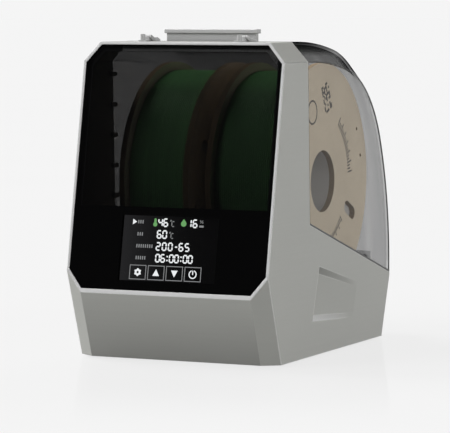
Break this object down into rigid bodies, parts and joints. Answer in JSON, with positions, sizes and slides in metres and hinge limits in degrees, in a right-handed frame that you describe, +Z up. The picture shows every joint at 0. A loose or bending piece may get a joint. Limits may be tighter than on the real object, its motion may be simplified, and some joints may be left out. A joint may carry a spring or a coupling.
{
  "type": "filament dryer box",
  "caption": "Free-standing dryer box for printer filament: leaning display front, hinged smoked lid, heated chamber with spools on rollers and filament outlets on top.",
  "frame": {"origin": "middle of the footprint, hinges included, on the surface that the feet stand on", "axes": "+Z up, +Y towards the rear hinge, the display front faces -Y"},
  "size_m": [0.1816, 0.2934, 0.2716],
  "materials": {
    "silver_shell": "fine satin silver-grey paint on moulded plastic",
    "dark_shell": "finely textured black moulding",
    "front_glass": "dark tinted, polished",
    "display": "black display face",
    "circuit_board": "solder mask",
    "roller_plastic": "smooth low-friction moulding",
    "steel": "bright zinc",
    "card": "uncoated card",
    "green_filament": "fine matt strand",
    "heater_aluminium": "bare",
    "contact_brass": "bare",
    "outlet_plastic": "satin moulding",
    "smoked_lid": "smoked clear moulding",
    "clear_pane": "lightly smoked clear sheet",
    "soft_rubber": "matt",
    "hinge_plastic": "finely textured moulding"
  },
  "bodies": {
    "housing": {"side_panel_right": "silver_shell", "side_panel_left": "silver_shell", "top_bridge": "silver_shell", "front_lower_cover": "silver_shell", "rear_cover": "dark_shell", "base_plate": "dark_shell", "display_shroud": "dark_shell", "chamber_floor": "dark_shell", "fan_frame": "dark_shell", "humidity_sensor": "dark_shell", "power_inlet": "dark_shell", "front_glass": "front_glass", "lcd_module": "display", "control_board": "circuit_board", "power_board": "circuit_board", "axle_saddles": "roller_plastic", "axle_front": "steel", "axle_rear": "steel", "base_screws": "steel", "inlet_screws": "steel", "hinge_body_screws": "steel", "hinge_pins": "steel", "cap_pin_left": "steel", "cap_pin_right": "steel", "heater_core": "heater_aluminium", "inlet_pins": "contact_brass", "outlet_tube_left": "outlet_plastic", "outlet_tube_right": "outlet_plastic", "outlet_collar_left": "outlet_plastic", "outlet_collar_right": "outlet_plastic", "feet": "soft_rubber", "hinge_body_leaves": "hinge_plastic"},
    "lid": {"lid_arch": "smoked_lid", "lid_window_right": "clear_pane", "lid_window_left": "clear_pane", "lid_seal": "soft_rubber", "lid_handle": "silver_shell", "handle_screws": "steel", "hinge_lid_leaves": "hinge_plastic", "hinge_lid_screws": "steel"},
    "spool_left": {"spool_flanges_left": "card", "spool_core_left": "card", "filament_left": "green_filament"},
    "spool_right": {"spool_flanges_right": "card", "spool_core_right": "card", "filament_right": "green_filament"},
    "roller_left_front": {"roller_left_front": "roller_plastic"},
    "roller_left_rear": {"roller_left_rear": "roller_plastic"},
    "roller_right_front": {"roller_right_front": "roller_plastic"},
    "roller_right_rear": {"roller_right_rear": "roller_plastic"},
    "fan_rotor": {"fan_rotor": "dark_shell"},
    "outlet_cap_left": {"outlet_cap_left": "outlet_plastic"},
    "outlet_cap_right": {"outlet_cap_right": "outlet_plastic"}
  },
  "joints": [
    {"name": "lid_hinge", "type": "hinge", "parent": "housing", "child": "lid", "pos_m": [0, 0.1427, 0.0555], "axis": [-1, 0, 0], "range_deg": [0, 95]},
    {"name": "spool_left_spin", "type": "hinge", "parent": "housing", "child": "spool_left", "pos_m": [-0.0368, 0.0088, 0.14273], "axis": [1, 0, 0], "continuous": true},
    {"name": "roller_left_front_spin", "type": "hinge", "parent": "housing", "child": "roller_left_front", "pos_m": [-0.0368, -0.05018, 0.0519], "axis": [1, 0, 0], "continuous": true},
    {"name": "roller_left_rear_spin", "type": "hinge", "parent": "housing", "child": "roller_left_rear", "pos_m": [-0.0368, 0.06778, 0.0519], "axis": [1, 0, 0], "continuous": true},
    {"name": "spool_right_spin", "type": "hinge", "parent": "housing", "child": "spool_right", "pos_m": [0.0421, 0.0088, 0.14273], "axis": [1, 0, 0], "continuous": true},
    {"name": "roller_right_front_spin", "type": "hinge", "parent": "housing", "child": "roller_right_front", "pos_m": [0.0421, -0.05018, 0.0519], "axis": [1, 0, 0], "continuous": true},
    {"name": "roller_right_rear_spin", "type": "hinge", "parent": "housing", "child": "roller_right_rear", "pos_m": [0.0421, 0.06778, 0.0519], "axis": [1, 0, 0], "continuous": true},
    {"name": "fan_spin", "type": "hinge", "parent": "housing", "child": "fan_rotor", "pos_m": [0, 0.0088, 0.014], "axis": [0, 0, 1], "continuous": true},
    {"name": "outlet_cap_left_flip", "type": "hinge", "parent": "housing", "child": "outlet_cap_left", "pos_m": [-0.0438, -0.08635, 0.26548], "axis": [1, 0, 0], "range_deg": [0, 180]},
    {"name": "outlet_cap_right_flip", "type": "hinge", "parent": "housing", "child": "outlet_cap_right", "pos_m": [0.0438, -0.08635, 0.26548], "axis": [1, 0, 0], "range_deg": [0, 180]}
  ],
  "couplings": [
    {"joint": "roller_left_front_spin", "follows": "spool_left_spin", "ratio": -12.5},
    {"joint": "roller_left_rear_spin", "follows": "spool_left_spin", "ratio": -12.5},
    {"joint": "roller_right_front_spin", "follows": "spool_right_spin", "ratio": -12.5},
    {"joint": "roller_right_rear_spin", "follows": "spool_right_spin", "ratio": -12.5}
  ]
}
